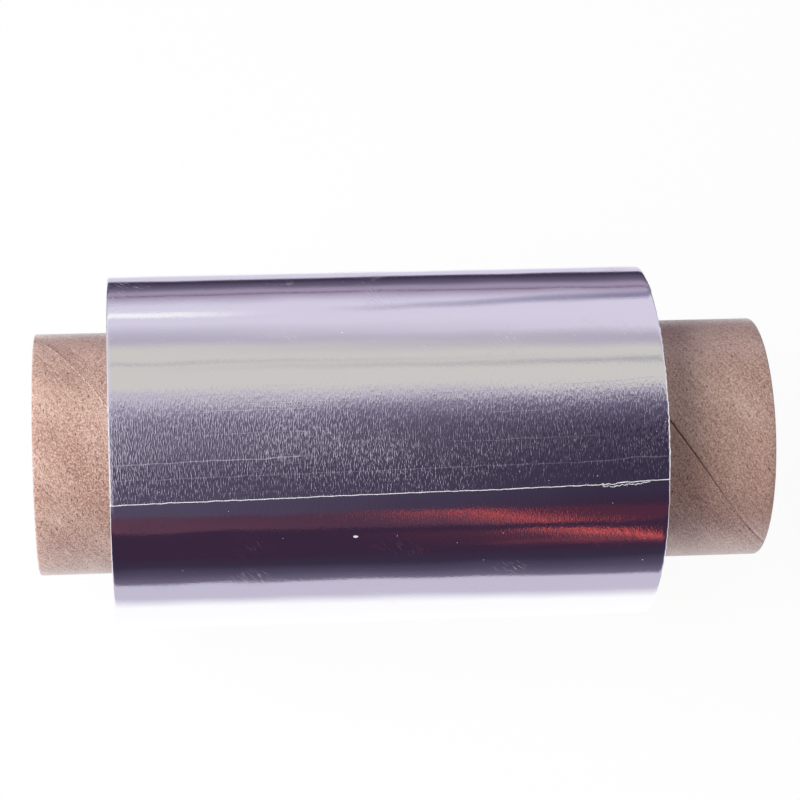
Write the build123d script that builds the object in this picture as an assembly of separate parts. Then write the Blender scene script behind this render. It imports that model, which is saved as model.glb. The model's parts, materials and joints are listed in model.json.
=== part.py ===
from build123d import *
from math import sqrt
import os

# A roll of aluminium foil wound on a longer cardboard core, lying on its side.
# The roll runs along X, its front faces -Y, and it rests on Z = 0.
# Millimetres and degrees. Angles run from the top of the roll over to its front.

# Foil winding
foil_width = 120.0
winding_build = 12.8
tail_step = 0.24
tail_angle = 45.0
flat_spot_width = 10.0

# Cardboard core, with bare stubs outside the foil
core_bore = 50.0
core_wall = 2.1
left_stub = 16.5
right_stub = 26.1
core_rim_bevel = 0.4

# Spiral seam between the edges of the core's outer ply
seam_pitch = 118.6
seam_start_angle = -41.5
seam_width = 0.6
seam_depth = 0.25

# Turns that stand out as lines on the ends of the winding
shown_turns = 5
turn_line_width = 0.5
turn_line_depth = 0.3
turn_line_margin = 0.9

# Worked out from the sizes above
core_radius = core_bore / 2 + core_wall
core_length = left_stub + foil_width + right_stub
winding_radius = core_radius + winding_build
axis_height = sqrt(winding_radius**2 - (flat_spot_width / 2) ** 2)
foil_left = left_stub
foil_right = left_stub + foil_width

# Everything is drawn on the core's left end: local X up, local Y to the front, local Z along the roll
left_end = Plane(origin=(-core_length / 2, 0, axis_height), x_dir=(0, 0, 1), z_dir=(1, 0, 0))


def direction(angle):
    """Unit vector at an angle in the plane of the roll's end."""
    return Vector(1, 0).rotate(Axis.Z, angle)


def spiral(start_angle, start_radius, lift, turns):
    """Quarter arcs that gain one lift a turn, like a string that comes off a square post."""
    post_side = lift / 4
    center = (direction(start_angle + 90) - direction(start_angle)) * (post_side / 2)
    arcs = []
    for quarter in range(4 * turns):
        angle = start_angle + 90 * quarter
        arcs.append(CenterArc(center, start_radius + post_side * quarter, angle, 90))
        center = center - direction(angle + 90) * post_side
    return arcs


def make_core():
    """Cardboard tube with bevelled rims and the seam of its outer ply."""
    tube = Cylinder(core_radius, core_length, align=(Align.CENTER, Align.CENTER, Align.MIN))
    tube -= Cylinder(core_bore / 2, core_length, align=(Align.CENTER, Align.CENTER, Align.MIN))
    rims = tube.edges().filter_by(GeomType.CIRCLE)
    tube = chamfer(rims, min(core_rim_bevel, core_wall / 3))

    # The seam runs on past both ends, so that it leaves the tube cleanly
    run_out = 5 * seam_width
    path = Helix(seam_pitch, core_length + 2 * run_out, core_radius, center=(0, 0, -run_out))
    path = Rot(Z=seam_start_angle - 360 * run_out / seam_pitch) * path
    outward = Vector((path @ 0).X, (path @ 0).Y)
    section_plane = Plane(origin=path @ 0, x_dir=outward, z_dir=path % 0)
    notch = Polygon((-seam_depth, 0), (seam_depth, seam_width), (seam_depth, -seam_width), align=None)
    return tube - sweep(section_plane * notch, path=path, is_frenet=True)


def make_turn_lines():
    """Flat shape of the spiral line that the wound turns leave on an end of the winding."""
    inner_radius = core_radius + turn_line_margin
    outer_radius = axis_height - turn_line_margin
    lift = (outer_radius - inner_radius - turn_line_width) / shown_turns
    near_side = spiral(tail_angle, inner_radius, lift, shown_turns)
    far_side = spiral(tail_angle, inner_radius + turn_line_width, lift, shown_turns)
    start_cap = Line(near_side[0] @ 0, far_side[0] @ 0)
    end_cap = Line(near_side[-1] @ 1, far_side[-1] @ 1)
    return make_face(near_side + far_side + [start_cap, end_cap])


def make_winding():
    """All turns of the foil as one solid, with the free edge of the outer turn and a flat spot below."""
    outer_turn = spiral(tail_angle, winding_radius - tail_step / 2, tail_step, 1)
    tail = Line(outer_turn[-1] @ 1, outer_turn[0] @ 0)
    section = make_face(outer_turn + [tail]) - Circle(core_radius)
    winding = Pos(Z=foil_left) * extrude(section, foil_width)

    # Local X points up, so the floor is a plane across it, one axis height down
    floor = Plane.YZ.offset(-axis_height)
    winding = split(winding, bisect_by=floor, keep=Keep.TOP)

    turn_lines = extrude(make_turn_lines(), turn_line_depth)
    winding -= Pos(Z=foil_left) * turn_lines
    winding -= Pos(Z=foil_right - turn_line_depth) * turn_lines
    return winding


os.makedirs("parts", exist_ok=True)
export_step(left_end * make_core(), "parts/cardboard_core.step")
export_step(left_end * make_winding(), "parts/foil_winding.step")
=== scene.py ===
# %% [markdown]
# # A roll of aluminium foil on a cardboard core
# Thin foil is wound on the middle of a longer cardboard tube. The roll lies on its side, and the
# free edge of the foil shows as one bright line across its front.
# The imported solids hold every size, so this lesson reads them first and then dresses them.

# %% Load the solids of the roll
import json
import math

import bmesh
import bpy
from mathutils import Matrix, Vector, noise


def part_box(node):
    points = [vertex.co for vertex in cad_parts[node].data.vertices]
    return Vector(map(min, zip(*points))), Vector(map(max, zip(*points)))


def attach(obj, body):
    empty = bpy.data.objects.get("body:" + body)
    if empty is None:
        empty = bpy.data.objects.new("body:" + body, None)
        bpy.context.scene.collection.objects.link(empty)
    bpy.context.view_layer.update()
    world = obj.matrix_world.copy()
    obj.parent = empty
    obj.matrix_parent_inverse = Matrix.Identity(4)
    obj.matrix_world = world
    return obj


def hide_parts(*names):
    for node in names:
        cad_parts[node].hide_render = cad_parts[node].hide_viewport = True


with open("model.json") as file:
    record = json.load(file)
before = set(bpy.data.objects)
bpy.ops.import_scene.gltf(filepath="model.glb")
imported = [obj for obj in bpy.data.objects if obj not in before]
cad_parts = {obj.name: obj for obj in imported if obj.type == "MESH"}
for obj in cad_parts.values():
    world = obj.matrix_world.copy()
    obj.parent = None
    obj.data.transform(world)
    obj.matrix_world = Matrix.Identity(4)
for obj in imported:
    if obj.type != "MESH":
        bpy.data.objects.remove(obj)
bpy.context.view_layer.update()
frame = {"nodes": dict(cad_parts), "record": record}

print("solids:", sorted(frame["nodes"]))

# %% [markdown]
# ## Sizes
# Everything turns about one line, the axis of the core, so the useful numbers are radii about it
# and places along it. They are in metres, as Blender wants them. Angles about the axis start at
# the top of the roll and run over to its front, and a small helper turns such an angle into a point.

# %% Read the sizes off the solids
MM = 0.001
full_turn = 2 * math.pi
core_low, core_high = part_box("cardboard_core")
foil_low, foil_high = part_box("foil_winding")
core_bore = next(m for m in frame["record"]["mounts"] if m["name"] == "core_bore")
axis_height = core_bore["pos_m"][2]
bore_radius = core_bore["dims"]["r_mm"] * MM
core_radius = (core_high.y - core_low.y) / 2
core_length = core_high.x - core_low.x
winding_radius = (foil_high.y - foil_low.y) / 2
foil_width = foil_high.x - foil_low.x
foil_middle = (foil_low.x + foil_high.x) / 2
roll_axis = Vector((0, 0, axis_height))


def on_roll(x, angle, radius):
    """Point at a place along the roll, an angle from its top over to its front, and a radius."""
    return Vector((x, -radius * math.sin(angle), axis_height + radius * math.cos(angle)))


def roll_angle(point):
    """Angle of a point about the axis, from the top of the roll over to its front."""
    return math.atan2(-point.y, point.z - axis_height)


def roll_radius(point):
    """Distance of a point from the axis of the roll."""
    return math.hypot(point.y, point.z - axis_height)


print(f"axis {axis_height / MM:.2f} mm up, foil {foil_width / MM:.1f} mm wide")

# %% [markdown]
# ## Camera
# A long lens looks down on the roll from the front and a little from the left, so both end faces
# stay hidden. The camera is placed by the steps that a photographer would take: raise it, turn it,
# tip it, step back.

# %% Place the camera
view_elevation = math.radians(60)
view_turn = math.radians(5.102)
view_tip = math.radians(1.445)
camera_offset = Vector((5.22, 10.43, 601.93)) * MM
lens_length = 119.05
sensor_width = 36

camera_data = bpy.data.cameras.new("camera")
camera_data.sensor_width = sensor_width
camera_data.lens = lens_length
camera = bpy.data.objects.new("camera", camera_data)
bpy.context.scene.collection.objects.link(camera)
bpy.context.scene.camera = camera

raised = Matrix.Rotation(math.pi / 2 - view_elevation, 4, "X")
turned = Matrix.Rotation(view_tip, 4, "Z") @ Matrix.Rotation(view_turn, 4, "Y")
aim = Matrix.Translation((foil_middle, 0, axis_height))
camera.matrix_world = aim @ raised @ turned.transposed() @ Matrix.Translation(camera_offset)
print("camera at", [round(c, 3) for c in camera.matrix_world.translation])

# %% [markdown]
# ## Helpers for nodes and meshes
# A material is a small machine of nodes. These helpers add a node, set its sockets and link it in
# one line, so that the recipes further down read as recipes.


# %% Define the helpers
def add_node(tree, kind, inputs=None, **settings):
    """New node of a kind. An input is a value, or a socket to link from."""
    node = tree.nodes.new(kind)
    for name, value in settings.items():
        setattr(node, name, value)
    for name, value in (inputs or {}).items():
        socket = node.inputs[name]
        if isinstance(value, bpy.types.NodeSocket):
            tree.links.new(value, socket)
        else:
            socket.default_value = value
    return node


def math_node(tree, operation, first, second=0.0):
    """Result of one sum on numbers or sockets."""
    return add_node(tree, "ShaderNodeMath", {0: first, 1: second}, operation=operation).outputs[0]


def plus(tree, first, *others):
    """Numbers or sockets, added up."""
    for other in others:
        first = math_node(tree, "ADD", first, other)
    return first


def times(tree, first, *others):
    """Numbers or sockets, multiplied."""
    for other in others:
        first = math_node(tree, "MULTIPLY", first, other)
    return first


def minus(tree, first, second):
    """The first number or socket less the second."""
    return math_node(tree, "SUBTRACT", first, second)


def ramp(tree, value, low, high, to_low=0.0, to_high=1.0):
    """Value that runs from one level to another between two limits."""
    limits = {"Value": value, "From Min": low, "From Max": high, "To Min": to_low, "To Max": to_high}
    return add_node(tree, "ShaderNodeMapRange", limits).outputs[0]


def color_stops(tree, factor, stops):
    """Colour socket of a ramp through (place, colour) stops."""
    node = add_node(tree, "ShaderNodeValToRGB", {"Fac": factor})
    elements = node.color_ramp.elements
    while len(elements) < len(stops):
        elements.new(1.0)
    for element, (place, color) in zip(elements, stops):
        element.position = place
        element.color = (*color[:3], 1.0)
    return node.outputs["Color"]


def blend(tree, factor, first, second):
    """Colour between two colours, which are values or sockets."""
    node = add_node(tree, "ShaderNodeMix", {"Factor": factor}, data_type="RGBA")
    for index, color in ((6, first), (7, second)):
        if isinstance(color, bpy.types.NodeSocket):
            tree.links.new(color, node.inputs[index])
        else:
            node.inputs[index].default_value = (*color, 1.0)
    return node.outputs[2]


def split_axes(tree, place):
    """X, Y and Z sockets of a place."""
    return add_node(tree, "ShaderNodeSeparateXYZ", {0: place}).outputs[:]


def object_place(tree):
    """Object coordinates."""
    return add_node(tree, "ShaderNodeTexCoord").outputs["Object"]


def vector_length(tree, place):
    """Distance of a place from the origin."""
    return add_node(tree, "ShaderNodeVectorMath", {0: place}, operation="LENGTH").outputs["Value"]


def plain_noise(tree, place, scale, detail):
    """Noise node at a place."""
    inputs = {"Vector": place, "Scale": scale, "Detail": detail}
    return add_node(tree, "ShaderNodeTexNoise", inputs)


def bump_normal(tree, height, depth, strength=1.0):
    """Normal that a height tips."""
    inputs = {"Height": height, "Strength": strength, "Distance": depth}
    return add_node(tree, "ShaderNodeBump", inputs).outputs[0]


def screen_color(red, green, blue):
    """Colour from 0 to 255 as a screen shows it, as the linear light that a shader wants."""
    def linear(value):
        value /= 255
        return value / 12.92 if value <= 0.04045 else ((value + 0.055) / 1.055) ** 2.4
    return (linear(red), linear(green), linear(blue))


def new_material(name):
    """Empty material with its node tree and output."""
    material = bpy.data.materials.new(name)
    material.use_nodes = True
    material.node_tree.nodes.clear()
    output = material.node_tree.nodes.new("ShaderNodeOutputMaterial")
    return material, material.node_tree, output


def finish_surface(tree, output, shader):
    """Shader as the whole surface."""
    tree.links.new(shader.outputs[0], output.inputs["Surface"])


def finish_principled(tree, output, inputs):
    """Principled shader with some inputs as the whole surface."""
    finish_surface(tree, output, add_node(tree, "ShaderNodeBsdfPrincipled", inputs))


def new_piece(name, mesh, *materials):
    """Object at the origin for a finished bmesh."""
    data = bpy.data.meshes.new(name)
    mesh.to_mesh(data)
    mesh.free()
    for material in materials:
        data.materials.append(material)
    piece = bpy.data.objects.new(name, data)
    bpy.context.scene.collection.objects.link(piece)
    return piece


print("helpers ready")

# %% [markdown]
# ## Floor and backdrop
# The roll lies on a white sheet under bright soft light, so bright that the sheet has no visible
# end. For the camera and for reflections most of the floor's white is a plain glow, and the rest
# is ordinary matt paint that takes the shadow of the roll.

# %% Lay the white floor
floor_size = 6.0
floor_drop = 0.1 * MM
floor_glow = 0.95
bounce_glow = 0.45
ambient_glow = 0.08
matt_white = (0.9, 0.9, 0.9, 1)
plain_white = (1.0, 1.0, 1.0)
floor_bounce = (0.97, 0.85, 0.99)
room_bounce = (0.98, 0.86, 1.0)


def seen_rays(tree):
    """1 for what the camera, mirrors and glass see, 0 for light that bounces off matt things."""
    path = add_node(tree, "ShaderNodeLightPath")
    seen = math_node(tree, "MAXIMUM", path.outputs["Is Camera Ray"], path.outputs["Is Glossy Ray"])
    return math_node(tree, "MAXIMUM", seen, path.outputs["Is Transmission Ray"])


floor_paint, tree, output = new_material("floor_paint")
seen = seen_rays(tree)
paint = add_node(tree, "ShaderNodeBsdfDiffuse", {"Color": matt_white})
floor_tint = color_stops(tree, seen, [(0.0, floor_bounce), (1.0, plain_white)])
glow = add_node(tree, "ShaderNodeEmission", {"Color": floor_tint, "Strength": 1.0})
share = ramp(tree, seen, 0.0, 1.0, bounce_glow, floor_glow)
shaders = {0: share, 1: paint.outputs[0], 2: glow.outputs[0]}
finish_surface(tree, output, add_node(tree, "ShaderNodeMixShader", shaders))

mesh = bmesh.new()
bmesh.ops.create_grid(mesh, x_segments=1, y_segments=1, size=floor_size / 2)
floor = new_piece("floor", mesh, floor_paint)
floor.location.z = -floor_drop

world = bpy.data.worlds.new("white_room")
bpy.context.scene.world = world
world.use_nodes = True
tree = world.node_tree
tree.nodes.clear()
seen = seen_rays(tree)
strength = math_node(tree, "MAXIMUM", seen, ambient_glow)
room_tint = color_stops(tree, seen, [(0.0, room_bounce), (1.0, plain_white)])
background = add_node(tree, "ShaderNodeBackground", {"Color": room_tint, "Strength": strength})
finish_surface(tree, add_node(tree, "ShaderNodeOutputWorld"), background)
bpy.context.scene.view_settings.view_transform = "Standard"
print("floor", floor_size, "m wide")

# %% [markdown]
# ## What the foil mirrors
# Bright foil has almost no colour of its own: it shows the room. A half tunnel of panels stands
# over the roll, dark on the camera's side and pale overhead and behind, with flat boards for the
# table beyond the white sheet. Only reflections see these cards, so they neither light nor shade
# the roll. The panels follow the angle from the front of the table over the top to the back.

# %% Choose the colours of the room
night = screen_color(54, 46, 66)
plum = screen_color(55, 38, 60)
dusk = screen_color(80, 72, 94)
twilight = screen_color(108, 100, 122)
haze = screen_color(138, 131, 153)
dim_lilac = screen_color(182, 177, 194)
pale_grey = screen_color(201, 199, 195)
grey_line = screen_color(160, 158, 164)
shade_lilac = screen_color(176, 169, 186)
lavender = screen_color(211, 205, 224)
mauve = screen_color(156, 142, 167)
slate = screen_color(134, 127, 157)
dull_red = screen_color(92, 60, 77)
brown_red = screen_color(76, 50, 69)
wine = screen_color(76, 42, 60)
ember = screen_color(124, 62, 72)
orange_red = screen_color(240, 100, 92)

left_panels = [
    (0, plum), (24, dusk), (50, dusk), (66, twilight), (78, twilight), (85, haze),
    (91.5, dim_lilac), (96, dim_lilac), (98.5, pale_grey), (114.5, pale_grey),
    (115.5, grey_line), (116.5, pale_grey), (126, pale_grey), (131, shade_lilac),
    (136, dim_lilac), (144, lavender), (163, lavender), (172, mauve), (180, mauve),
]
right_panels = [
    (0, plum), (24, plum), (32, night), (70, night), (79, dusk), (87, twilight), (90, haze),
    (93, shade_lilac), (96, pale_grey), (109, pale_grey), (111.5, grey_line), (114, pale_grey),
    (119, pale_grey), (124, shade_lilac), (128, shade_lilac), (135, lavender), (162, lavender),
    (173, mauve), (180, mauve),
]
print(len(left_panels), "panels on the left,", len(right_panels), "on the right")

# %% [markdown]
# One pair of vertices, spun half a turn about the roll, makes the tunnel. Its glow comes from the
# angle of each point, worked out from Object coordinates. The room isn't the same on both sides,
# so there are two runs of panels, and the place along the roll blends one into the other. A slate
# slat slants across the back right. Towards both ends of the tunnel the room gets lighter, and the
# flanks of the foil's rolling lines mirror that. Each pair of limits below is where a change
# starts and where it is complete, and two more numbers are its levels.

# %% Stand the tunnel over the roll
tunnel_radius = 0.6
tunnel_low_x = -0.8
tunnel_high_x = 0.9
card_strength = 1.1
side_blend = (-0.06, 0.14)
slat_climb = 0.4
slat_turn = 0.849
slat_edge = (0.018, 0.005)
slat_spread = (0.0, 0.16, 0.8, 2.0)
slat_fade = (-0.04, 0.15)
left_end_glow = (-0.1, -0.32)
right_end_glow = (0.45, 0.75, 0.0, 0.9)
end_glow_rise = (0.13, 0.2)


def glossy_only(card):
    """Card that reflections see and nothing else does."""
    card.visible_camera = False
    card.visible_diffuse = False
    card.visible_shadow = False
    card.visible_volume_scatter = False


def arc_card(name, radius, low_angle, high_angle, low_x, high_x, material):
    """Panel on an arc round the roll, by angles in degrees from the front over the top."""
    sweep = high_angle - low_angle
    mesh = bmesh.new()
    start = Matrix.Rotation(math.radians(-low_angle), 3, "X") @ Vector((0, -radius, 0))
    mesh.edges.new([mesh.verts.new((x, start.y, start.z)) for x in (low_x, high_x)])
    bmesh.ops.spin(
        mesh, geom=mesh.verts[:] + mesh.edges[:], cent=(0, 0, 0), axis=(-1, 0, 0),
        dvec=(0, 0, 0), angle=math.radians(sweep), steps=max(4, round(sweep / 2)),
        use_merge=False, use_duplicate=False,
    )
    card = new_piece(name, mesh, material)
    glossy_only(card)
    return card


def finish_glow(tree, output, color):
    """Glow of a colour socket as the whole surface."""
    glow = add_node(tree, "ShaderNodeEmission", {"Color": color, "Strength": card_strength})
    finish_surface(tree, output, glow)


room_glow, tree, output = new_material("room_glow")
at_x, at_y, at_z = split_axes(tree, object_place(tree))
front = times(tree, at_y, -1.0)
turn = math_node(tree, "DIVIDE", math_node(tree, "ARCTAN2", at_z, front), math.pi)
left_room = color_stops(tree, turn, [(angle / 180, color) for angle, color in left_panels])
right_room = color_stops(tree, turn, [(angle / 180, color) for angle, color in right_panels])
room = blend(tree, ramp(tree, at_x, *side_blend), left_room, right_room)
slant = minus(tree, turn, times(tree, at_x, slat_climb))
off_slat = math_node(tree, "ABSOLUTE", minus(tree, slant, slat_turn))
off_slat = math_node(tree, "DIVIDE", off_slat, ramp(tree, at_x, *slat_spread))
slat = times(tree, ramp(tree, off_slat, *slat_edge), ramp(tree, at_x, *slat_fade))
room = blend(tree, slat, room, slate)
end_glow = plus(tree, ramp(tree, at_x, *left_end_glow), ramp(tree, at_x, *right_end_glow))
end_glow = times(tree, end_glow, ramp(tree, turn, *end_glow_rise))
finish_glow(tree, output, blend(tree, end_glow, room, lavender))
tunnel = arc_card("room_tunnel", tunnel_radius, 0, 180, tunnel_low_x, tunnel_high_x, room_glow)
print("tunnel spans", [round(v, 2) for v in tunnel.dimensions])

# %% [markdown]
# Low at the front right stands something red, which the foil stretches into two bands with a dark
# line between, and both lean to the right as they come down. A white strip hangs high at the back
# left, over a thin purple line. Each is a narrow panel just inside the tunnel, with colours that
# run along the roll.

# %% Add the red bands and the white strip
panel_radius = 0.99 * tunnel_radius
red_lean = 0.5
strip_high_x = 0.03


def run_along(name, stops, lean=0.0):
    """Glow that runs through (metres along X, colour) stops. A lean shifts them with the height."""
    material, tree, output = new_material(name)
    at_x, _, at_z = split_axes(tree, object_place(tree))
    low, high = stops[0][0], stops[-1][0]
    span = ramp(tree, plus(tree, at_x, times(tree, at_z, lean)), low, high)
    shares = [((x - low) / (high - low), color) for x, color in stops]
    finish_glow(tree, output, color_stops(tree, span, shares))
    return material


def narrow_panel(name, low_angle, high_angle, stops, lean=0.0, high_x=tunnel_high_x):
    """Arc panel just inside the tunnel, from its left end on."""
    glow = run_along(name + "_glow", stops, lean)
    arc_card(name, panel_radius, low_angle, high_angle, tunnel_low_x, high_x, glow)


upper_run = [
    (0.0, dull_red), (0.12, brown_red), (0.162, dull_red), (0.175, ember), (0.183, orange_red),
    (0.191, ember), (0.206, wine), (0.3, wine),
]
dark_run = [(0.0, plum), (1.0, plum)]
lower_run = [
    (0.05, plum), (0.12, wine), (0.14, dull_red), (0.152, ember), (0.159, orange_red),
    (0.165, orange_red), (0.173, ember), (0.182, wine), (0.22, plum),
]
purple_run = [(0.0, brown_red), (1.0, brown_red)]
white_run = [
    (-0.2, (0.95, 0.95, 0.97)), (-0.05, (0.9, 0.9, 0.93)), (-0.01, lavender), (0.04, lavender),
]
narrow_panel("red_upper", 13, 22.8, upper_run, red_lean)
narrow_panel("dark_line", 8.5, 13, dark_run)
narrow_panel("red_lower", 0, 8.5, lower_run, red_lean)
narrow_panel("purple_line", 173.6, 174.6, purple_run)
narrow_panel("white_strip", 151, 156, white_run, high_x=strip_high_x)
print("narrow panels: 5")

# %% [markdown]
# The low sides of the foil mirror the table. Two boards, one in front and one behind, repeat the
# end of the white sheet, some centimetres from the roll, and the dark table beyond it.

# %% Lay the boards beyond the sheet
board_height = 0.2 * MM
front_lean = 0.06
board_blend = (0.06, 0.13)
white = screen_color(252, 252, 254)
sheet_shade = screen_color(193, 187, 207)


def glow_board(name, left_stops, right_stops, lean=0.0):
    """Board on the floor with (metres along Y, colour) stops for each side. A lean slants them."""
    material, tree, output = new_material(name + "_glow")
    at_x, at_y, _ = split_axes(tree, object_place(tree))
    low, high = left_stops[0][0], left_stops[-1][0]
    span = ramp(tree, minus(tree, at_y, times(tree, at_x, lean)), low, high)
    left, right = (
        color_stops(tree, span, [((y - low) / (high - low), color) for y, color in stops])
        for stops in (left_stops, right_stops)
    )
    finish_glow(tree, output, blend(tree, ramp(tree, at_x, *board_blend), left, right))
    mesh = bmesh.new()
    bmesh.ops.create_grid(mesh, x_segments=1, y_segments=1, size=0.5)
    bmesh.ops.scale(mesh, vec=(tunnel_high_x - tunnel_low_x, high - low, 1), verts=mesh.verts)
    middle = ((tunnel_high_x + tunnel_low_x) / 2, (high + low) / 2, board_height)
    bmesh.ops.translate(mesh, vec=middle, verts=mesh.verts)
    board = new_piece(name, mesh, material)
    glossy_only(board)
    return board


sheet_end = [
    (-0.186, night), (-0.136, dusk), (-0.108, twilight), (-0.105, sheet_shade),
    (-0.074, sheet_shade), (-0.06, white), (-0.006, white),
]
front_left = [(-0.6, plum), (-0.3, plum)] + sheet_end
front_right = [(-0.6, ember), (-0.47, ember), (-0.4, wine), (-0.3, plum)] + sheet_end
back_run = [
    (0.09, white), (0.11, lavender), (0.15, lavender), (0.162, dusk), (0.18, night), (0.24, dusk),
    (0.38, twilight), (0.6, mauve),
]
front_board = glow_board("front_board", front_left, front_right, front_lean)
back_board = glow_board("back_board", back_run, back_run)
print("boards:", front_board.name, back_board.name)

# %% [markdown]
# ## Lamps
# A broad soft lamp stands to the left, so the left stub is bright and the winding shades the right
# one, and a weaker one hangs overhead. They light the cardboard and the floor. The foil doesn't
# mirror them, because the panels already stand for everything that it sees.


# %% Hang the lamps
def soft_lamp(name, place, aim_at, size, power):
    """Square area lamp that points at a place."""
    data = bpy.data.lights.new(name, "AREA")
    data.size = size
    data.energy = power
    lamp = bpy.data.objects.new(name, data)
    lamp.location = place
    lamp.rotation_euler = (aim_at - Vector(place)).to_track_quat("-Z", "Y").to_euler()
    lamp.visible_glossy = False
    bpy.context.scene.collection.objects.link(lamp)


soft_lamp("left_lamp", (-0.72, -0.16, 0.6), roll_axis, size=0.95, power=14.5)
soft_lamp("top_lamp", (0.4, 0.0, 0.9), roll_axis, size=0.8, power=1.9)

# %% [markdown]
# ## Foil finish
# Foil is rolled in one direction, and the rollers leave fine lines along it: here they run round
# the roll. The lines are noise stretched along the unrolled foil. As a bump they tip the surface
# to the left and right, so against a dark reflection each flank that finds the bright side of the
# room is a short light dash. The foil is most worn just above its free edge.

# %% Mix the marks of the bright foil
foil_map = "unrolled_foil"
foil_slack = 0.14 * MM
base_radius = winding_radius - foil_slack
foil_turn = full_turn * base_radius
sway_reach = (0.9 * MM, 0.9 * MM, 0)
fold_half_width = 0.12 * MM
fold_fade = 8
worn_rise = (foil_turn - 27 * MM, foil_turn - 21 * MM, 0.1, 1.0)
worn_fade = (5 * MM, 40 * MM, 1.0, 0.7)
frost_floor = (foil_turn - 9 * MM, foil_turn - 1 * MM, 0.46, 0.55)


def stretched_noise(tree, place, around, along, detail=2.0, tilt=0.0):
    """Noise whose marks are about so many millimetres long one way and the other way."""
    rotation = (0, 0, math.radians(tilt))
    turned = add_node(tree, "ShaderNodeMapping", {"Vector": place, "Rotation": rotation})
    scale = (1 / (around * MM), 1 / (along * MM), 1 / (along * MM))
    spread = add_node(tree, "ShaderNodeMapping", {"Vector": turned.outputs[0], "Scale": scale})
    return plain_noise(tree, spread.outputs[0], 1.0, detail).outputs["Fac"]


def fold_line(tree, place, to_tail, climb, low_x, high_x):
    """Small step across the foil, by its way to the free edge, its climb and where it fades."""
    way_round, way_along, _ = split_axes(tree, place)
    leaning = minus(tree, way_round, times(tree, way_along, climb))
    line = foil_turn - to_tail * MM
    step = ramp(tree, leaning, line - fold_half_width, line + fold_half_width)
    left_fade = ramp(tree, way_along, low_x * MM, (low_x + fold_fade) * MM)
    right_fade = ramp(tree, way_along, high_x * MM, (high_x - fold_fade) * MM)
    return times(tree, step, times(tree, left_fade, right_fade))


bright_foil, tree, output = new_material("bright_foil")
unrolled = add_node(tree, "ShaderNodeUVMap", uv_map=foil_map).outputs[0]
sway = plain_noise(tree, unrolled, 160.0, 1.0).outputs["Color"]
swayed = add_node(
    tree, "ShaderNodeVectorMath", {0: sway, 1: sway_reach, 2: unrolled}, operation="MULTIPLY_ADD"
).outputs[0]
way_round, way_along, _ = split_axes(tree, unrolled)
worn = times(tree, ramp(tree, way_round, *worn_rise), ramp(tree, way_along, *worn_fade))
rolled = stretched_noise(tree, unrolled, 1.25, 0.27, 1.0)
frost = minus(tree, rolled, ramp(tree, way_round, *frost_floor))
frost = math_node(tree, "MAXIMUM", frost, 0.0)
clouds = ramp(tree, stretched_noise(tree, unrolled, 22.0, 30.0), 0.3, 0.7, 0.6, 1.3)
creases = ramp(tree, stretched_noise(tree, swayed, 0.4, 70.0, 1.0), 0.66, 0.74)
long_fold = fold_line(tree, swayed, 4.9, 0.0, -70, 64)
short_fold = fold_line(tree, swayed, 8.8, -0.009, -70, -16)
patches = ramp(tree, stretched_noise(tree, unrolled, 9.0, 14.0, 0.0), 0.6, 0.75)
hatch = ramp(tree, stretched_noise(tree, swayed, 3.5, 0.16, 1.0, -38.0), 0.6, 0.75)
scratches = times(tree, patches, hatch)
print("foil marks: rolling lines, creases, folds, scratches")

# %% [markdown]
# The marks meet in two numbers. Roughness is low on clean foil, so that it mirrors sharply, and
# higher on every mark. The bump tips the surface at the marks by some degrees. Dust and one chip
# of bare white are the only places that aren't metal.

# %% Finish the bright foil
bump_depth = 0.135 * MM
frost_height = 1.05
long_fold_height = 0.5
short_fold_height = 0.52
mark_height = 0.08
grit_height = 0.06
clean_roughness = 0.08
frost_roughness = 0.2
mark_roughness = 0.25
chip_offset = (-10.0 * MM, 12.1 * MM, 0)
chip_scale = (1 / (0.3 * MM), 1 / (0.65 * MM), 0)
foil_tone = (0.91, 0.905, 0.92)
dust_tone = (0.96, 0.96, 0.96)

folds = plus(
    tree, times(tree, long_fold, long_fold_height), times(tree, short_fold, short_fold_height)
)
fine_marks = plus(tree, times(tree, creases, worn), scratches)
grit = times(tree, stretched_noise(tree, unrolled, 0.5, 0.4, 1.0), grit_height)
waves = stretched_noise(tree, unrolled, 14.0, 22.0, 1.0)
height = plus(tree, folds, times(tree, fine_marks, mark_height), grit, waves)
frost_rise = times(tree, frost, times(tree, worn, clouds, frost_height))
height = plus(tree, frost_rise, height)

rough = times(tree, ramp(tree, frost, 0.05, 0.2), worn, frost_roughness)
rough = plus(tree, rough, times(tree, fine_marks, mark_roughness), clean_roughness)

chip = add_node(tree, "ShaderNodeMapping", {"Vector": swayed, "Location": chip_offset}).outputs[0]
chip = add_node(tree, "ShaderNodeMapping", {"Vector": chip, "Scale": chip_scale}).outputs[0]
dust = ramp(tree, stretched_noise(tree, unrolled, 0.5, 0.5, 0.0), 0.89, 0.92)
dull = math_node(tree, "MAXIMUM", ramp(tree, vector_length(tree, chip), 1.0, 0.6), dust)
finish_principled(tree, output, {
    "Base Color": blend(tree, dull, foil_tone, dust_tone), "Metallic": minus(tree, 1.0, dull),
    "Roughness": rough, "Normal": bump_normal(tree, height, bump_depth),
})
print("foil nodes:", len(tree.nodes))

# %% [markdown]
# ## Wound ends
# Seen from the end, the winding is hundreds of foil edges packed side by side: a satin face with
# fine rings. The rings are noise along the radius, which Object coordinates give.

# %% Mix the wound edge
ring_pitch = 0.16 * MM
band_pitch = 0.9 * MM
ring_depth = 0.05 * MM


def ring_noise(tree, radius, pitch, detail):
    """Noise that only the radius changes, so that it draws rings."""
    inputs = {"W": math_node(tree, "DIVIDE", radius, pitch), "Scale": 1.0, "Detail": detail}
    return add_node(tree, "ShaderNodeTexNoise", inputs, noise_dimensions="1D").outputs["Fac"]


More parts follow.
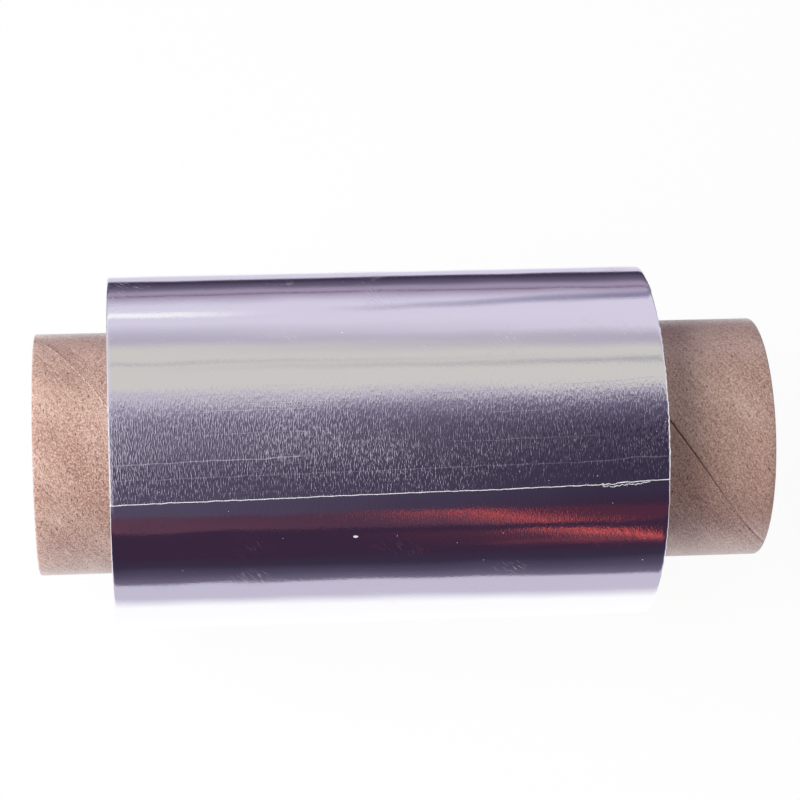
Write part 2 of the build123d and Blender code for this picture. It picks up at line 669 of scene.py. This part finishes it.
wound_edge, tree, output = new_material("wound_edge")
from_axis = {"Vector": object_place(tree), "Location": (0, 0, -axis_height)}
_, at_y, at_z = split_axes(tree, add_node(tree, "ShaderNodeMapping", from_axis).outputs[0])
flat_place = add_node(tree, "ShaderNodeCombineXYZ", {"X": at_y, "Y": at_z}).outputs[0]
radius = vector_length(tree, flat_place)
rings = ring_noise(tree, radius, ring_pitch, 3.0)
bands = ring_noise(tree, radius, band_pitch, 1.0)
layers = plus(tree, times(tree, rings, 0.6), times(tree, bands, 0.4))
tone = color_stops(tree, layers, [(0.35, (0.5, 0.5, 0.53)), (0.65, (0.9, 0.9, 0.91))])
finish_principled(tree, output, {
    "Base Color": tone, "Metallic": 1.0, "Roughness": ramp(tree, rings, 0.0, 1.0, 0.5, 0.3),
    "Normal": bump_normal(tree, rings, ring_depth, 0.6),
})
print("wound edge nodes:", len(tree.nodes))

# %% [markdown]
# The free edge was cut with a toothed blade, which leaves it torn and dull, so it catches light
# from every side. Its tiny burrs scatter light as white paper does, so this finish is only partly
# metal, uneven along the cut.

# %% Mix the cut edge
cut_edge, tree, output = new_material("cut_edge")
teeth = plain_noise(tree, object_place(tree), 900.0, 2.0).outputs["Fac"]
tone = color_stops(tree, teeth, [(0.3, (0.86, 0.86, 0.88)), (0.6, (0.98, 0.98, 1.0))])
finish_principled(tree, output, {
    "Base Color": tone, "Metallic": ramp(tree, teeth, 0.4, 0.6, 0.1, 0.5),
    "Roughness": ramp(tree, teeth, 0.3, 0.7, 0.2, 0.5),
})
print("cut edge nodes:", len(tree.nodes))

# %% [markdown]
# ## Foil winding
# The winding is a lathe shape, so a rectangle is drawn once and spun round the axis. The two outer
# corners are rounded first, because soft foil has no sharp corner. One full spin gives a closed
# ring, and then every vertex is moved a little: out along the spiral, in and out with the slack
# waves of the outer turn, and up at the free edge, where the foil curls off the roll.

# %% Spin the winding
columns = 320
length_cuts = 172
ring_cuts = 58
corner_round = 0.42 * MM
tail_angle = math.radians(44.5)
tail_step = 0.24 * MM

mesh = bmesh.new()
profile = [
    (foil_low.x, core_radius), (foil_low.x, base_radius), (foil_high.x, base_radius),
    (foil_high.x, core_radius),
]
corners = [mesh.verts.new(on_roll(x, tail_angle, radius)) for x, radius in profile]
mesh.faces.new(corners)
bmesh.ops.bevel(
    mesh, geom=corners[1:3], offset=corner_round, offset_type="OFFSET", segments=3, profile=0.5,
    affect="VERTICES", material=-1,
)
bmesh.ops.delete(mesh, geom=mesh.faces[:], context="FACES_ONLY")
bmesh.ops.spin(
    mesh, geom=mesh.verts[:] + mesh.edges[:], cent=roll_axis, axis=(1, 0, 0), dvec=(0, 0, 0),
    angle=full_turn, steps=columns, use_merge=True, use_duplicate=False,
)
outside = [
    e for e in mesh.edges
    if e.calc_length() > 0.5 * foil_width and roll_radius(e.verts[0].co) > core_radius + MM
]
end_sides = [
    e for e in mesh.edges
    if abs(e.verts[0].co.x - e.verts[1].co.x) < 1e-7 and e.calc_length() > 5 * MM
]
bmesh.ops.subdivide_edges(mesh, edges=outside, cuts=length_cuts)
bmesh.ops.subdivide_edges(mesh, edges=end_sides, cuts=ring_cuts)
bmesh.ops.recalc_face_normals(mesh, faces=mesh.faces)
print("winding:", len(mesh.faces), "faces before shaping")

# %% [markdown]
# The columns of the spin are evenly spaced, but the free edge needs many close together. So the
# turn is counted from the free edge round to itself, and the last few columns are drawn up to it.
# The step of the edge is then one narrow column of faces. On both ends a few turns stand out as
# one spiral line, a shallow groove that starts at the core and winds out to the rim.

# %% Describe the free edge and the slack foil
lip_turn = math.radians(1.6)
lip_share = 0.03
tail_gap = math.radians(0.06)
lip_length = 0.26 * MM
lip_slope = 1.5
lip_start = full_turn - 0.8 * lip_length / base_radius
skew_middle = math.radians(0.25)
skew_turn = math.radians(1.3)
slip_turn = math.radians(0.8)
slip_share = 0.72
slip_run = 0.22
fray_place = 47
fray_run = 9


def smooth_step(value):
    """Soft ramp from 0 to 1."""
    value = min(max(value, 0.0), 1.0)
    return value * value * (3 - 2 * value)


def draw_up(turn):
    """Turn from the free edge, with the last share of columns drawn up to it."""
    share = turn / full_turn
    if share < 1 - lip_share:
        return share / (1 - lip_share) * (full_turn - lip_turn)
    return full_turn - lip_turn + (share - 1 + lip_share) / lip_share * (lip_turn - tail_gap)


def edge_skew(x):
    """Angle by which the free edge climbs to the right, with a last rise where the blade slipped."""
    share = (x - foil_middle) / (foil_high.x - foil_middle)
    slip = slip_turn * smooth_step((share - slip_share) / slip_run)
    return skew_middle + skew_turn * share + slip


def fray(x):
    """How frayed the free edge is: most near the right end."""
    return 0.25 + smooth_step(1 - abs((x - foil_middle) / MM - fray_place) / fray_run)


def edge_jag(x):
    """Small wander of the free edge round the roll."""
    slow = noise.noise(Vector((x / (16 * MM), 0.3, 1.7))) * 0.12 * MM
    fine = noise.noise(Vector((x / (1.9 * MM), 5.1, 0.2))) * 0.2 * MM
    finest = noise.noise(Vector((x / (0.8 * MM), 8.8, 4.6))) * 0.22 * MM
    return slow + fine * (0.4 + fray(x)) + finest * fray(x)


def slack_wave(arc, x):
    """Radial wave of the outer turn, mostly along the foil's length, with crinkles at its rims."""
    broad = noise.noise(Vector((arc / (22 * MM), x / (80 * MM), 2.3))) * 0.07 * MM
    small = noise.noise(Vector((arc / (8 * MM), x / (17 * MM), 7.9))) * 0.028 * MM
    crinkle = noise.noise(Vector((arc / (6 * MM), x / (2.5 * MM), 3.3))) * 0.02 * MM
    to_rim = min(x - foil_low.x, foil_high.x - x)
    return broad + small + crinkle * math.exp(-to_rim / (5 * MM))


edge_climb = math.degrees(edge_skew(foil_high.x) - edge_skew(foil_low.x))
print("free edge climbs", round(edge_climb, 1), "degrees")

# %% [markdown]
# Every vertex now gets its place from those rules, and each face its finish: bright foil outside,
# wound edges on the ends, and the cut edge along the lip. The map of the unrolled foil is laid at
# the same time, because the turn of each vertex is known here.

# %% Shape the winding
burr_length = 0.35 * MM
burr_run = 0.8 * MM
shown_turns = 5
line_width = 0.5 * MM
line_depth = 0.3 * MM
line_margin = 0.9 * MM
jag_run = 1.2 * MM


def turn_line(angle, radius):
    """How deep the spiral line of the turns is on an end: 1 in its middle, 0 beside it."""
    lift = (axis_height - core_radius - 2 * line_margin - line_width) / shown_turns
    way_out = (radius - core_radius - line_margin - line_width / 2) / lift
    count = way_out - (angle - tail_angle) / full_turn % 1.0
    nearest = round(count)
    if nearest < 0 or nearest >= shown_turns:
        return 0.0
    return smooth_step(1.6 - abs(count - nearest) * lift / (line_width / 2))


def burr(turn, side):
    """How far the slit edge stands out at a turn: roughest at the right, where it was torn."""
    coarse = noise.noise(Vector((turn * 60, side * 3.7, 0.4)))
    fine = noise.noise(Vector((turn * 190, side, 6.2)))
    return max(0.0, coarse + 0.6 * fine) * (1.0 if side > 0 else 0.3)


def rim_gap(x):
    """Twice the way from a place to the nearer end of the foil."""
    return foil_width - 2 * abs(x - foil_middle)


def move_vertex(vert, turn):
    """Moves one vertex of the plain lathe to its place at a turn from the free edge."""
    x = vert.co.x
    radius = roll_radius(vert.co)
    outer = smooth_step((radius - core_radius) / (base_radius - core_radius) * 12 - 11)
    arc = turn * base_radius
    to_edge = min(arc, foil_turn - arc)
    curl = lip_length * (1 + 0.7 * fray(x) * noise.noise(Vector((x / (1.1 * MM), 2.2, 9.4))))
    lift = lip_slope * max(0.0, curl - (foil_turn - arc))
    wander = edge_jag(x) * math.exp(-((to_edge / jag_run) ** 2))
    radius += outer * (tail_step * (turn / full_turn - 0.5) + slack_wave(arc, x) + lift)
    angle = tail_angle - edge_skew(x) + turn + wander / base_radius
    side = 1 if x > foil_middle else -1
    rim = smooth_step(1 - rim_gap(x) / burr_run) * outer
    x += side * rim * burr_length * burr(turn, side)
    if rim_gap(x) < 0.001 * MM:
        x -= side * line_depth * turn_line(angle, radius)
    vert.co = on_roll(x, angle, radius)
    vert.co.z = max(vert.co.z, 0.0)


def finish_face(face, layer, turn_of):
    """Maps the unrolled foil on one face and picks its finish."""
    turns = [turn_of[vert] for vert in face.verts]
    wraps = max(turns) - min(turns) > math.pi
    for loop in face.loops:
        turn = turn_of[loop.vert]
        if wraps and turn < math.pi:
            turn += full_turn
        loop[layer].uv = (turn * base_radius, loop.vert.co.x)
    face.smooth = True
    outward = min(roll_radius(vert.co) for vert in face.verts) > base_radius - 2 * corner_round
    on_lip = min(turns) < full_turn - tail_gap and max(turns) > lip_start
    face.material_index = (2 if on_lip else 0) if outward else 1


turn_of = {}
for vert in mesh.verts:
    turn_of[vert] = draw_up((roll_angle(vert.co) - tail_angle + 1e-5) % full_turn)
    move_vertex(vert, turn_of[vert])
layer = mesh.loops.layers.uv.new(foil_map)
for face in mesh.faces:
    finish_face(face, layer, turn_of)
winding = new_piece("foil_winding_dressed", mesh, bright_foil, wound_edge, cut_edge)
winding.data.set_sharp_from_angle(angle=math.radians(50))
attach(winding, "root")
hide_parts("foil_winding")
print("winding size mm:", [round(v / MM, 2) for v in winding.dimensions])

# %% [markdown]
# Near the right end the blade slipped and left a thin sliver, torn half off the free edge. It
# starts in a small loop and comes back to the edge further on. A narrow grid is the ribbon, laid
# along that path and given the thickness of crumpled foil.

# %% Lay the torn sliver
sliver_start = 40.6 * MM
sliver_run = 10.4 * MM
sliver_width = 0.16 * MM
sliver_thickness = 0.03 * MM
sliver_bow = 0.36 * MM
sliver_shiver = 0.24 * MM
sliver_lift = 0.1 * MM
loop_radius = 0.32 * MM
loop_share = 0.2
loop_rise = 0.3 * MM

mesh = bmesh.new()
bmesh.ops.create_grid(mesh, x_segments=150, y_segments=1, size=0.5)
for vert in mesh.verts:
    share, side = vert.co.x + 0.5, vert.co.y
    to_free_end = max(0.0, 1 - share / loop_share)
    if share < loop_share:
        swing = full_turn * (1 - 0.95 * to_free_end)
        x = sliver_start - loop_radius * math.cos(swing)
        off_edge = loop_radius * math.sin(swing)
    else:
        run = (share - loop_share) / (1 - loop_share)
        x = sliver_start - loop_radius + run * sliver_run
        shiver = sliver_shiver * noise.noise(Vector((x / (0.7 * MM), 3.1, 0.7)))
        off_edge = (sliver_bow + shiver) * math.sin(math.pi * run) ** 0.6 + 0.4 * shiver
    rise = sliver_lift + (side + 0.5) * sliver_width + to_free_end * loop_rise
    way_round = off_edge + edge_jag(x) + 0.6 * side * sliver_width
    angle = tail_angle - edge_skew(x) + way_round / base_radius
    vert.co = on_roll(x, angle, base_radius + rise)
bmesh.ops.solidify(mesh, geom=mesh.faces[:], thickness=sliver_thickness)
bmesh.ops.recalc_face_normals(mesh, faces=mesh.faces)
sliver = new_piece("torn_sliver", mesh, cut_edge)
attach(sliver, "root")
print("sliver", round(sliver_run / MM, 1), "mm long")

# %% [markdown]
# ## Cardboard finish
# The core is uncoated brown board: pressed fibres, cloudy and mottled, with dark specks from
# recycled paper. The fibres lie along the ply, so the pattern reads a map of the flat ply and not
# the tube. That map also knows where the two edges of the ply meet, and there the open seam gets
# painted shade: a dark colour in the gap, strongest on the right next to the winding, which shades
# that stub. Loose fibre ends give the board a faint sheen where light grazes it.

# %% Mix the core board
ply_map = "flat_ply"
around = full_turn * core_radius
seam_pitch = 118.6 * MM
seam_start = math.radians(-41.5)
seam_width = 0.6 * MM
ply_direction = Vector((around, seam_pitch, 0)).normalized()
ply_normal = Vector((-ply_direction.y, ply_direction.x, 0))
ply_width = seam_pitch * ply_normal.y
seam_foot = Vector((seam_start % full_turn / full_turn * around, core_low.x, 0))
# Limits of the painted shade in the open seam: across the gap, and where it rises and fades along
# the tube.
seam_shade_edge = (0.18 * MM, 0.05 * MM)
seam_shade_rise = (0.0, 30 * MM)
seam_shade_fade = (60 * MM, 74 * MM, 0.9, 0.1)
fibre_depth = 0.09 * MM


def ply_place(tree):
    """Coordinates on the flat ply."""
    return add_node(tree, "ShaderNodeUVMap", uv_map=ply_map).outputs[0]


def seam_shade(tree):
    """Painted shade of the open seam: most where it leaves the foil on the right, fading to the end.
    """
    across_ply = split_axes(tree, ply_place(tree))[1]
    off_middle = minus(tree, across_ply, seam_foot.dot(ply_normal) + ply_width / 2)
    off_edge = minus(tree, ply_width / 2, math_node(tree, "ABSOLUTE", off_middle))
    at_x = split_axes(tree, object_place(tree))[0]
    fading = times(tree, ramp(tree, at_x, *seam_shade_rise), ramp(tree, at_x, *seam_shade_fade))
    return times(tree, ramp(tree, off_edge, *seam_shade_edge), fading)


def mix_board(name, place_of, tones, shade_of=None):
    """Brown board whose fibres follow the coordinates that place_of gives."""
    dark, middle, light, speck, pale = tones
    material, tree, output = new_material(name)
    place = place_of(tree)
    fibres = stretched_noise(tree, place, 0.5, 0.22, 5.0)
    mottle = stretched_noise(tree, place, 1.3, 0.8, 3.0)
    clouds = stretched_noise(tree, place, 16.0, 9.0, 2.0)
    lines = minus(tree, stretched_noise(tree, place, 12.0, 0.5, 1.0), 0.5)
    weave = plus(
        tree, times(tree, fibres, 0.66), times(tree, mottle, 0.19), times(tree, clouds, 0.15),
        times(tree, lines, 0.12),
    )
    tone = color_stops(tree, weave, [(0.41, dark), (0.5, middle), (0.59, light)])
    dashes = ramp(tree, stretched_noise(tree, place, 1.3, 0.42, 0.0, 25.0), 0.72, 0.78)
    tone = blend(tree, times(tree, dashes, 0.8), tone, speck)
    hairs = minus(tree, stretched_noise(tree, place, 5.0, 2.2, 1.0), 0.5)
    hairs = ramp(tree, math_node(tree, "ABSOLUTE", hairs), 0.012, 0.0)
    hair_patches = ramp(tree, stretched_noise(tree, place, 4.0, 4.0), 0.56, 0.62, 0.0, 0.6)
    specks = ramp(tree, stretched_noise(tree, place, 0.6, 0.5, 0.0), 0.8, 0.84)
    pale_marks = math_node(tree, "MAXIMUM", times(tree, hairs, hair_patches), specks)
    tone = blend(tree, pale_marks, tone, pale)
    if shade_of:
        # Painted shade: the open seam is darkened with the dark speck colour.
        tone = blend(tree, shade_of(tree), tone, speck)
    finish_principled(tree, output, {
        "Base Color": tone, "Roughness": ramp(tree, weave, 0.3, 0.7, 0.33, 0.26),
        "Normal": bump_normal(tree, weave, fibre_depth), "Specular IOR Level": 1.0,
        "Sheen Weight": 0.4, "Sheen Roughness": 0.25, "Sheen Tint": (0.9, 0.92, 1.0, 1.0),
    })
    return material


board_tones = (
    screen_color(148, 111, 97), screen_color(195, 157, 140), screen_color(226, 198, 183),
    screen_color(84, 58, 52), screen_color(236, 216, 204),
)
core_board = mix_board("core_board", ply_place, board_tones, seam_shade)
core_inside = mix_board("core_inside", object_place, board_tones)
print("boards:", core_board.name, core_inside.name)

# %% [markdown]
# ## Cardboard core
# A paper tube is wound from flat strips, so it is drawn flat: a sheet as wide as the way round the
# tube. The seam of the outer ply is a straight slanting line there, and planes cut the sheet along
# it, so that the seam has edges of its own.

# %% Draw the flat sheet and cut the seam
cut_offsets = (-1.0, -0.5, -0.25, 0.0, 0.25, 0.5, 1.0)

mesh = bmesh.new()
bmesh.ops.create_grid(mesh, x_segments=240, y_segments=54, size=0.5)
bmesh.ops.scale(mesh, vec=(around, core_length, 1), verts=mesh.verts)
bmesh.ops.translate(mesh, vec=(around / 2, 0, 0), verts=mesh.verts)


def seam_distance(point):
    """Distance across the ply from the nearest seam, and the number of the ply's turn."""
    rise = (point - seam_foot).dot(ply_normal)
    turn = math.floor(rise / ply_width)
    above = rise - turn * ply_width
    return (above if above < ply_width / 2 else above - ply_width), turn


for turn in range(-2, 3):
    for offset in cut_offsets:
        cut = seam_foot + ply_normal * (turn * ply_width + offset * seam_width)
        bmesh.ops.bisect_plane(
            mesh, geom=mesh.verts[:] + mesh.edges[:] + mesh.faces[:], dist=1e-7, plane_co=cut,
            plane_no=ply_normal,
        )
print("flat sheet:", len(mesh.faces), "faces, ply", round(ply_width / MM, 1), "mm wide")

# %% [markdown]
# Before the sheet is rolled up, its flat places are kept as the map of the ply. Then it is bent
# round the axis, its two sides are welded, and the wall gets its thickness.

# %% Roll the sheet up into a tube
weld_reach = 0.02 * MM
wall = core_radius - bore_radius

layer = mesh.loops.layers.uv.new(ply_map)
for face in mesh.faces:
    turn = seam_distance(face.calc_center_median())[1]
    for loop in face.loops:
        flat = loop.vert.co + Vector((turn * around, 0, 0))
        loop[layer].uv = (flat.dot(ply_direction), flat.dot(ply_normal))
for vert in mesh.verts:
    vert.co = on_roll(vert.co.y, vert.co.x / core_radius, core_radius)
bmesh.ops.remove_doubles(mesh, verts=mesh.verts, dist=weld_reach)
bmesh.ops.recalc_face_normals(mesh, faces=mesh.faces)
bmesh.ops.solidify(mesh, geom=mesh.faces[:], thickness=wall)
for vert in mesh.verts:
    radius = bore_radius if roll_radius(vert.co) < core_radius - wall / 2 else core_radius
    vert.co = on_roll(vert.co.x, roll_angle(vert.co), radius)
    vert.co.x = min(max(vert.co.x, core_low.x), core_high.x)
bmesh.ops.recalc_face_normals(mesh, faces=mesh.faces)
print("tube:", len(mesh.faces), "faces, closed:", all(e.is_manifold for e in mesh.edges))

# %% [markdown]
# Both rims are rubbed round, and the seam comes last, where the two edges of the outer ply meet:
# on the right they stand apart, and on the bare left stub one edge lifts a little. On the ends the
# layers of paper show as rings, so the end faces get a few rings that stand at uneven heights.

# %% Press the seam and rub the rims
ply_rings = 6
rim_bevel = 0.35 * MM
skin = 0.5 * MM
seam_depth = 0.45 * MM
seam_lip = 0.14 * MM
open_run = 20 * MM
fade_start = 58
fade_run = 22
fade_share = 0.65

mesh.normal_update()
end_faces = [f for f in mesh.faces if abs(f.normal.x) > 0.9]
ring_edges = list({e for f in end_faces for e in f.edges if e.calc_length() > 0.8 * wall})
bmesh.ops.subdivide_edges(mesh, edges=ring_edges, cuts=ply_rings)
mesh.normal_update()
rims = [
    e for e in mesh.edges
    if len(e.link_faces) == 2 and e.calc_face_angle() > math.radians(60)
]
bmesh.ops.bevel(
    mesh, geom=rims, offset=rim_bevel, offset_type="OFFSET", segments=2, profile=0.5,
    affect="EDGES", material=-1,
)


def seam_height(x, angle):
    """How far the outer ply stands out at a place: up at the left lip, down in the open seam."""
    gap = seam_distance(Vector((angle * core_radius, x, 0)))[0]
    pressed = max(0.0, 1 - abs(gap) / (seam_width / 2))
    raised = max(0.0, 1 - gap / seam_width) if gap >= 0 else 0.0
    bare = smooth_step((foil_low.x - x) / MM)
    closed = smooth_step(-x / open_run)
    fading = 1 - fade_share * smooth_step((x / MM - fade_start) / fade_run)
    return bare * seam_lip * raised - (1 - closed) * fading * seam_depth * pressed


for vert in mesh.verts:
    x = vert.co.x
    radius = roll_radius(vert.co)
    angle = roll_angle(vert.co) % full_turn
    side = 1 if x > 0 else -1
    to_end = min(core_high.x - x, x - core_low.x)
    if radius > core_radius - skin:
        radius += seam_height(x, angle)
    on_end = bore_radius + rim_bevel * 1.1 < radius < core_radius - rim_bevel * 1.1
    if to_end < 0.01 * MM and on_end:
        fuzz = noise.noise(Vector((radius / (0.4 * MM), math.cos(angle), math.sin(angle))))
        x -= side * (0.06 + 0.06 * fuzz) * MM
    vert.co = on_roll(x, angle, radius)
for face in mesh.faces:
    face.smooth = True
    outward = roll_radius(face.calc_center_median()) > core_radius - skin
    face.material_index = 0 if outward else 1
core = new_piece("cardboard_core_dressed", mesh, core_board, core_inside)
core.data.set_sharp_from_angle(angle=math.radians(50))
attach(core, "root")
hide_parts("cardboard_core")
print("core size mm:", [round(v / MM, 2) for v in core.dimensions])
